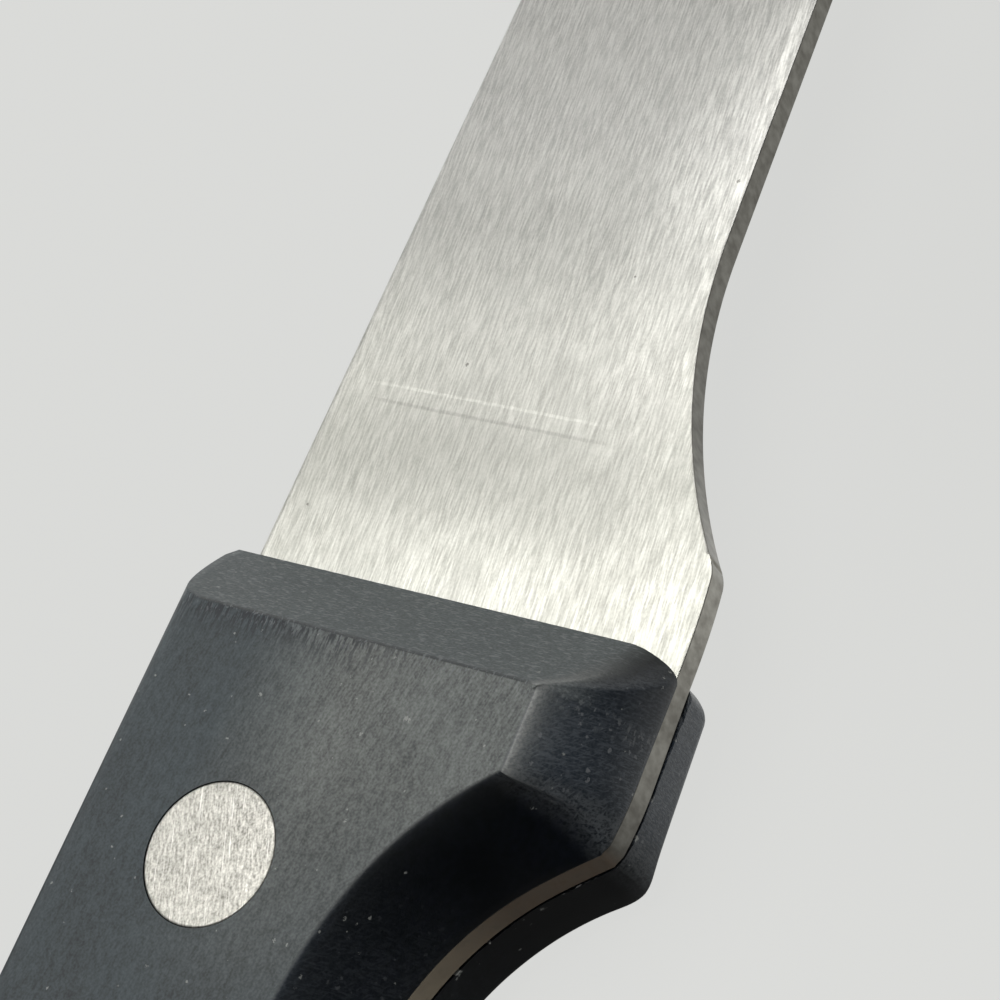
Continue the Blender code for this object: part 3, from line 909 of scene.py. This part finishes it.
def remap(value, low, high, to_low=0.0, to_high=1.0, way="LINEAR"):
    ranges = {"Value": value, "From Min": low, "From Max": high, "To Min": to_low, "To Max": to_high}
    node = add_node(value.id_data, "MapRange", ranges, clamp=True, interpolation_type=way)
    return node.outputs["Result"]


def blend(share, a, b):
    """Colour between a and b, each a socket or shares of red, green and blue."""
    a, b = [c if is_socket(c) else (*c, 1.0) for c in (a, b)]
    return add_node(share.id_data, "Mix", {0: share, 6: a, 7: b}, data_type="RGBA").outputs[2]


def math_node(operation, a, b):
    tree = (a if is_socket(a) else b).id_data
    return add_node(tree, "Math", {0: a, 1: b}, operation=operation).outputs[0]


def attribute(tree, name):
    return add_node(tree, "Attribute", attribute_name=name).outputs["Fac"]


def less(a, b):
    return math_node("SUBTRACT", a, b)


def larger(a, b):
    return math_node("MAXIMUM", a, b)


def product(*factors):
    return reduce(lambda a, b: math_node("MULTIPLY", a, b), factors)


def total(*terms):
    return reduce(lambda a, b: math_node("ADD", a, b), terms)


def specks(where, size, spacing, amount, seed):
    """Small irregular spots of mixed sizes, in some of the cells of a spacing."""
    uneven = grain(where, (size,) * 3, 1.0, seed)
    moved = scaled(where, 1.0 / spacing, (seed,) * 3)
    cells = add_node(where.id_data, "TexVoronoi", {"Vector": moved, "Scale": 1.0})
    luck = axes(cells.outputs["Color"])[0]
    reach = product(remap(luck, 0.0, amount, size / spacing, 0.0), remap(uneven, 0.3, 0.7, 0.4, 1.6))
    inside = less(reach, cells.outputs["Distance"])
    return remap(inside, 0.0, 0.25 * size / spacing)


def press_mark(x, y):
    """Shallow groove across the shank, about a millimetre wide, that fades towards both edges."""
    across = less(x, product(y, PRESS_MARK_SLANT))
    inside = product(remap(across, *PRESS_MARK_REAR), remap(across, *PRESS_MARK_FRONT))
    return product(inside, remap(y, *PRESS_MARK_BELLY), remap(y, *PRESS_MARK_SPINE))


def press_wave(x):
    """Gentle wave in the sheet on both sides of the groove, in millimetres."""
    phase = product(less(x, PRESS_MARK_X), 2.0 * math.pi / PRESS_WAVE_LENGTH)
    wave = less(1.0, math_node("COSINE", phase, 0.0))
    front = PRESS_MARK_X + PRESS_WAVE_LENGTH
    depth = remap(x, PRESS_MARK_X, PRESS_MARK_X + PRESS_WAVE_STEP, PRESS_WAVE_REAR, PRESS_WAVE_FRONT)
    return product(wave, depth, remap(x, front, front - PRESS_WAVE_STEP))


def sheet_form(x, y):
    """Slight dish of the sheet near the bolster, and its belly side rolled off further along."""
    up = larger(less(y, FORK_AXIS_Y), 0.0)
    dish = product(up, up, remap(x, 10.0, 24.0, SHEET_DISH, 0.0, SMOOTH))
    down = larger(less(SHEET_ROLL_Y, y), 0.0)
    roll = remap(x, 7.0, 24.0, 0.0, SHEET_ROLL, SMOOTH)
    roll = product(roll, remap(x, 26.0, 46.0, 1.0, SHEET_ROLL_REST, SMOOTH))
    return total(dish, product(down, down, roll))


def steel_material():
    """Lengthwise brushed stainless sheet with a sheared, darker edge, which in the scoop has a grime film
    with painted shade.
    """
    material, tree, shader, where = new_material("brushed_steel", 1.0)
    x, y, _ = axes(where)
    fine = remap(grain(where, (1.4, 0.11, 0.6), 2.0, 3.0, 6.0), 0.40, 0.60)
    crossed = remap(grain(where, (1.2, 0.13, 0.6), 2.0, 5.0), 0.42, 0.58)
    grit = remap(grain(where, (0.14,) * 3, 2.0, 33.0), 0.38, 0.62)
    coarse = remap(grain(where, (5.0, 0.5, 2.0), 2.0, 7.0, 3.0), 0.3, 0.7)
    cloud = grain(where, (3.0, 2.2, 3.0), 3.0, 11.0)
    lines = total(product(fine, 0.45), product(crossed, 0.25))
    streak = total(lines, product(grit, 0.18), product(coarse, 0.12))
    colour = blend(streak, (0.335, 0.335, 0.325), (0.675, 0.675, 0.65))
    colour = blend(remap(cloud, 0.4, 0.75, 0.0, 0.3), colour, (0.42, 0.42, 0.41))
    colour = blend(remap(x, 28.0, 8.0, 0.0, 0.13), colour, (0.5, 0.51, 0.34))
    at_foot = product(remap(x, 7.0, 1.0), remap(y, -13.0, -20.0))
    colour = blend(product(at_foot, 0.18), colour, (0.27, 0.27, 0.235))
    along = product(remap(x, 20.0, 14.0), remap(x, 3.0, 9.0))
    by_bolster = product(along, remap(y, -1.0, -9.0), remap(y, -22.0, -18.5))
    colour = blend(product(by_bolster, 0.26), colour, (0.25, 0.25, 0.24))
    pits = product(specks(where, 0.16, 1.6, 0.12, 23.0), 0.7)
    colour = blend(pits, colour, (0.12, 0.115, 0.105))
    shear = grain(where, (0.5, 0.5, 0.9), 3.0, 19.0)
    edge_colour = blend(remap(shear, 0.3, 0.7), (0.19, 0.18, 0.156), (0.345, 0.335, 0.30))
    on_edge = remap(attribute(tree, "edge"), 0.3, 0.9)
    colour = blend(on_edge, colour, edge_colour)
    # In the scoop the edge gets a dark brown film, partly grime and partly painted shade, and is less
    # metallic there
    film_and_shade = product(on_edge, remap(x, -9.3, -9.9), remap(shear, 0.3, 0.7, 0.75, 1.0))
    film_and_shade_colour = blend(remap(x, -13.5, -20.0), (0.110, 0.076, 0.050), (0.36, 0.305, 0.225))
    colour = blend(film_and_shade, colour, film_and_shade_colour)
    tree.links.new(less(1.0, film_and_shade), shader.inputs["Metallic"])
    rough = total(remap(streak, 0.0, 1.0, 0.36, 0.29), remap(cloud, 0.3, 0.7, -0.02, 0.03))
    mark = product(press_mark(x, y), remap(cloud, 0.3, 0.7, -0.005, -0.011))
    height = total(product(streak, 0.0015), press_wave(x), sheet_form(x, y), mark)
    finish_surface(shader, colour, rough, height)
    return material


def plastic_material():
    """Dark moulded plastic with its wear and dust, and painted sheen, highlight, reflection and shade."""
    material, tree, shader, where = new_material("worn_dark_plastic", 0.0)
    x, y, z = axes(where)
    flat = attribute(tree, "flat_face")
    side = less(1.0, flat)
    skin = remap(grain(where, (0.13,) * 3, 2.0, 2.0), 0.38, 0.62)
    smudge = remap(grain(where, (5.0, 3.5, 3.5), 3.0, 9.0), 0.3, 0.7)
    sanding = remap(grain(where, (1.6, 0.12, 0.8), 2.0, 5.0, -11.0), 0.38, 0.62)
    mottle = remap(grain(where, (0.55, 0.28, 0.3), 3.0, 41.0, 3.0), 0.36, 0.64)
    colour = blend(smudge, (0.0004, 0.0014, 0.0024), (0.0014, 0.0030, 0.0048))
    colour = blend(product(mottle, smudge, 0.8), colour, (0.0034, 0.0048, 0.0105))

    # Scuffs by guard and scoop, and painted reflection and shade on the back scale
    scuffs = remap(grain(where, (0.09, 0.5, 0.5), 3.0, 15.0, 20.0), 0.48, 0.64)
    scratches = remap(grain(where, (0.6, 0.07, 0.3), 2.0, 25.0, -35.0), 0.54, 0.64)
    marks = larger(scuffs, scratches)
    by_scoop = remap(x, -1.5, -6.5, 0.3, 1.0)
    # The back scale is painted lighter towards the guard's front, a painted reflection, and darker at the
    # scoop, painted shade
    back_reflection_and_shade = product(remap(z, BLANK_TOP, BLANK_BOTTOM), remap(x, -9.5, -2.5, -0.25, 2.1))
    rub = attribute(tree, "rub")
    rubbed_reflection_and_shade = product(rub, total(by_scoop, back_reflection_and_shade), side)
    spots = specks(where, 0.12, 0.42, 0.5, 12.0)
    colour = blend(product(rubbed_reflection_and_shade, 0.55), colour, (0.023, 0.036, 0.054))
    colour = blend(product(rubbed_reflection_and_shade, skin, 0.35), colour, (0.060, 0.070, 0.083))
    colour = blend(product(rubbed_reflection_and_shade, marks, 0.55), colour, (0.082, 0.095, 0.114))
    colour = blend(product(rubbed_reflection_and_shade, spots, 0.8), colour, (0.15, 0.16, 0.175))
    border = product(rubbed_reflection_and_shade, less(1.0, rub), remap(x, -14.0, -12.0), 2.6)
    colour = blend(product(border, larger(marks, skin)), colour, (0.10, 0.11, 0.12))

    # Flat face and front bevel
    # Pale haze on the flat face: partly sanding haze, partly painted sheen, which is painted lighter
    # towards the guard
    near_guard = product(remap(y, -6.5, -13.0), remap(x, -24.0, -11.0), remap(y, -13.5, -17.5, 1.0, 0.87))
    haze_and_sheen_colour = blend(near_guard, (0.051, 0.0655, 0.0725), (0.158, 0.169, 0.164))
    by_ridge = remap(x, -14.0, -5.0, 0.35, 1.0)
    lines = total(product(sanding, by_ridge, 0.24), product(mottle, 0.24))
    grit = total(lines, product(skin, 0.30), product(smudge, 0.22))
    colour = blend(product(flat, remap(grit, 0.05, 0.85, 0.2, 1.0)), colour, haze_and_sheen_colour)
    nicks = remap(grain(where, (0.9, 0.17, 0.5), 2.0, 35.0, 2.0), 0.46, 0.56)
    at_ridge = product(remap(x, -6.6, -4.9), remap(y, -17.0, -12.0), flat)
    colour = blend(product(nicks, at_ridge, 0.85), colour, (0.009, 0.011, 0.015))
    chips = remap(grain(where, (0.35, 0.16, 0.3), 2.0, 45.0, 2.0), 0.58, 0.64)
    along_ridge = product(remap(x, -5.6, -4.9), remap(x, -4.2, -4.5))
    colour = blend(product(chips, along_ridge, 0.6), colour, (0.13, 0.14, 0.15))
    # The front bevel is painted paler: partly sanding haze, partly painted reflection of the floor
    bevel = product(remap(x, -4.7, -4.5), remap(y, -24.4, -22.6), side)
    colour = blend(product(bevel, remap(skin, 0.0, 1.0, 0.5, 0.8)), colour, (0.106, 0.1225, 0.1265))
    flecks = remap(grain(where, (0.10, 0.45, 0.2), 2.0, 51.0), 0.54, 0.66)
    colour = blend(product(bevel, flecks, 0.7), colour, (0.175, 0.190, 0.195))

    # Worn ridges, wear and a painted highlight up the crease, and dust
    # Paler ridges from wear; up the crease the paleness is wear with a painted highlight
    wear = product(attribute(tree, "wear"), side)
    colour = blend(product(wear, remap(skin, 0.0, 1.0, 0.6, 0.95)), colour, (0.125, 0.132, 0.132))
    rubbed_line = product(math_node("POWER", wear, 4.0), remap(skin, 0.0, 1.0, 0.5, 1.0))
    colour = blend(rubbed_line, colour, (0.26, 0.27, 0.265))
    dust = larger(specks(where, 0.18, 1.3, 0.22, 4.0), specks(where, 0.09, 0.5, 0.26, 8.0))
    above = remap(z, BACK_SEAT - 0.45, BACK_SEAT - 0.1)
    in_gap = product(above, remap(z, BACK_SEAT + 0.3, BACK_SEAT + 0.2))
    lint = product(in_gap, specks(where, 0.22, 0.6, 0.35, 18.0))
    colour = blend(larger(product(dust, 0.6), lint), colour, (0.30, 0.31, 0.30))
    dull = larger(flat, bevel)
    rough = total(remap(dull, 0.0, 1.0, 0.36, 0.58), remap(smudge, 0.0, 1.0, -0.03, 0.03))
    height = total(product(sanding, by_ridge, flat, 0.003), product(skin, 0.0015))
    height = total(height, product(nicks, at_ridge, -0.02), product(marks, rubbed_reflection_and_shade, 0.004))
    finish_surface(shader, colour, rough, height)
    return material


def rivet_material():
    """Light metal heads sanded flush with the scales."""
    material, _, shader, where = new_material("sanded_rivet_metal", 1.0)
    fleck = remap(grain(where, (0.42, 0.13, 0.4), 3.0, 13.0, 24.0), 0.36, 0.64)
    grit = remap(grain(where, (0.12,) * 3, 2.0, 21.0), 0.34, 0.66)
    cloud = remap(grain(where, (1.6, 1.2, 1.2), 2.0, 17.0), 0.3, 0.7)
    tone = total(product(fleck, 0.45), product(grit, 0.35), product(cloud, 0.2))
    colour = blend(tone, (0.203, 0.199, 0.181), (0.723, 0.712, 0.661))
    scratch = remap(grain(where, (2.5, 0.08, 1.0), 1.0, 27.0, 22.0), 0.66, 0.72)
    colour = blend(product(scratch, 0.8), colour, (0.80, 0.79, 0.755))
    finish_surface(shader, colour, remap(tone, 0.2, 0.8, 0.47, 0.35), product(tone, 0.002))
    return material


# Studio

def add_camera():
    at = Vector(CAMERA_AT) * MM
    ahead = Vector(CAMERA_TARGET) * MM - at
    turn = ahead.to_track_quat("-Z", "Y") @ Quaternion((0.0, 0.0, 1.0), -math.radians(CAMERA_ROLL_DEG))
    data = bpy.data.cameras.new("camera")
    data.sensor_width = 36.0
    data.lens = CAMERA_LENS
    data.clip_start = 0.005
    camera = bpy.data.objects.new("camera", data)
    camera.matrix_world = Matrix.LocRotScale(at, turn, None)
    bpy.context.scene.collection.objects.link(camera)
    bpy.context.scene.camera = camera


def from_middle(tree):
    """Distance from the middle of an object, in metres."""
    local = add_node(tree, "TexCoord").outputs["Object"]
    return add_node(tree, "VectorMath", {0: local}, operation="LENGTH").outputs["Value"]


def add_floor():
    """Pale floor. The camera sees mostly its own flat tone, which drifts a little, so shadows stay faint.
    Reflections see that tone brightest by the bolster, and dim under the grip and far from the belly."""
    material = bpy.data.materials.new("pale_floor")
    tree = bare_tree(material)
    path = add_node(tree, "LightPath").outputs
    x, y, _ = axes(bolster_place(tree))
    grip = remap(x, -11.5, -4.0, 0.085, 0.8)
    heel = remap(x, -1.0, 4.0, 0.0, 0.4)
    shank = remap(x, 8.0, 16.0, 0.0, -0.5)
    across = remap(y, -70.0, -34.0, 0.15, 1.0)
    mirrored = larger(path["Is Glossy Ray"], path["Is Transmission Ray"])
    reflected = product(mirrored, total(grip, heel, shank), across)
    near = remap(from_middle(tree), 0.05, 0.25, 1.0, 0.0, SMOOTH)
    below = remap(y, 0.0, -35.0, 0.0, 1.0, SMOOTH)
    drift = product(remap(x, -50.0, 40.0, 0.055, -0.035, SMOOTH), below, near)
    plain = product(less(1.0, mirrored), total(drift, 1.0))
    lit = add_node(tree, "BsdfDiffuse", {"Color": (0.74, 0.745, 0.73, 1.0)})
    tone = {"Color": (0.70, 0.705, 0.69, 1.0), "Strength": total(reflected, plain)}
    flat = add_node(tree, "Emission", tone)
    share = larger(product(path["Is Camera Ray"], 0.95), mirrored)
    both = add_node(tree, "MixShader", {0: share, 1: lit.outputs[0], 2: flat.outputs[0]})
    add_node(tree, "OutputMaterial", {"Surface": both.outputs[0]})
    form = bmesh.new()
    bmesh.ops.create_grid(form, x_segments=1, y_segments=1, size=FLOOR_HALF)
    floor = add_object("floor", form, material)
    floor.location.z = -FLOOR_DROP


def add_soft_front(lamp):
    """Cloth in front of the soft box, which only reflections see: a ring of light with a dim middle."""
    material = bpy.data.materials.new("soft_front")
    tree = bare_tree(material)
    away = from_middle(tree)
    inner = remap(away, *SOFT_FRONT_CENTRE, SOFT_FRONT_DIM, 1.0, SMOOTH)
    outer = remap(away, *SOFT_FRONT_RIM, SOFT_FRONT_LEVEL, 0.0, SMOOTH)
    glow = {"Color": (*LAMP_COLOUR, 1.0), "Strength": product(inner, outer)}
    shine = add_node(tree, "Emission", glow)
    clear = add_node(tree, "BsdfTransparent")
    both = add_node(tree, "AddShader", {0: clear.outputs[0], 1: shine.outputs[0]})
    add_node(tree, "OutputMaterial", {"Surface": both.outputs[0]})
    form = bmesh.new()
    bmesh.ops.create_circle(form, cap_ends=True, segments=64, radius=SOFT_FRONT_RIM[1])
    front = add_object("soft_front", form, material)
    front.location = lamp.location
    front.rotation_euler = lamp.rotation_euler
    front.visible_camera = False
    front.visible_diffuse = False
    front.visible_shadow = False


def facing(ray, direction):
    """How squarely a ray points in a direction, from -1 to 1."""
    terms = {0: ray, 1: tuple(Vector(direction).normalized())}
    return add_node(ray.id_data, "VectorMath", terms, operation="DOT_PRODUCT").outputs["Value"]


def add_lights():
    """Soft box above the fork, whose front reflections see in its place, and a room. Reflections see it
    pale beyond the fork and past its tines, and dark behind the camera. The camera sees one pale tone."""
    towards = Vector(LAMP_TOWARDS).normalized()
    data = bpy.data.lights.new("soft_box", "AREA")
    data.shape = "DISK"
    data.size = LAMP_SIZE
    data.energy = LAMP_POWER
    data.color = LAMP_COLOUR
    lamp = bpy.data.objects.new("soft_box", data)
    lamp.location = towards * LAMP_DISTANCE
    lamp.rotation_euler = (-towards).to_track_quat("-Z", "Y").to_euler()
    lamp.visible_glossy = False
    bpy.context.scene.collection.objects.link(lamp)
    add_soft_front(lamp)
    world = bpy.data.worlds.new("room")
    bpy.context.scene.world = world
    tree = bare_tree(world)
    ray = add_node(tree, "TexCoord").outputs["Generated"]
    wall = remap(facing(ray, ROOM_BEYOND), -0.2, 0.8, 0.010, 0.5)
    low = remap(axes(ray)[2], 0.55, 0.35)
    backdrop = product(remap(facing(ray, ROOM_AHEAD), 0.70, 0.92, 0.0, 0.7), low)
    window = remap(facing(ray, ROOM_ASIDE), 0.72, 0.95, 0.0, 0.5)
    seen = add_node(tree, "LightPath").outputs["Is Camera Ray"]
    unseen = product(less(1.0, seen), total(wall, backdrop, window))
    glow = total(unseen, product(seen, ROOM_TONE))
    back = add_node(tree, "Background", {"Color": (1.0, 0.995, 0.98, 1.0), "Strength": glow})
    add_node(tree, "OutputWorld", {"Surface": back.outputs[0]})


def main():
    for thing in list(bpy.data.objects):
        if thing.name in ("Camera", "Light", "Cube"):
            bpy.data.objects.remove(thing, do_unlink=True)
    add_camera()
    steel = steel_material()
    plastic = plastic_material()
    rivet_metal = rivet_material()
    dress("brushed_blank", blank_form(), steel, "fork_blank")
    dress("front_handle_scale", scale_form(FRONT_SEAT, HANDLE_TOP), plastic, "front_scale")
    dress("back_handle_scale", scale_form(BACK_SEAT, 0.0), plastic, "back_scale")
    for name, place in RIVETS.items():
        for half, profile in (("_stud", stud_profile()), ("_socket", socket_profile())):
            form = turned_form(profile, place)
            dress(name + half, form, rivet_metal, name + "_rivet" + half)
    add_floor()
    add_lights()
    bpy.context.scene.view_settings.view_transform = "Standard"


main()
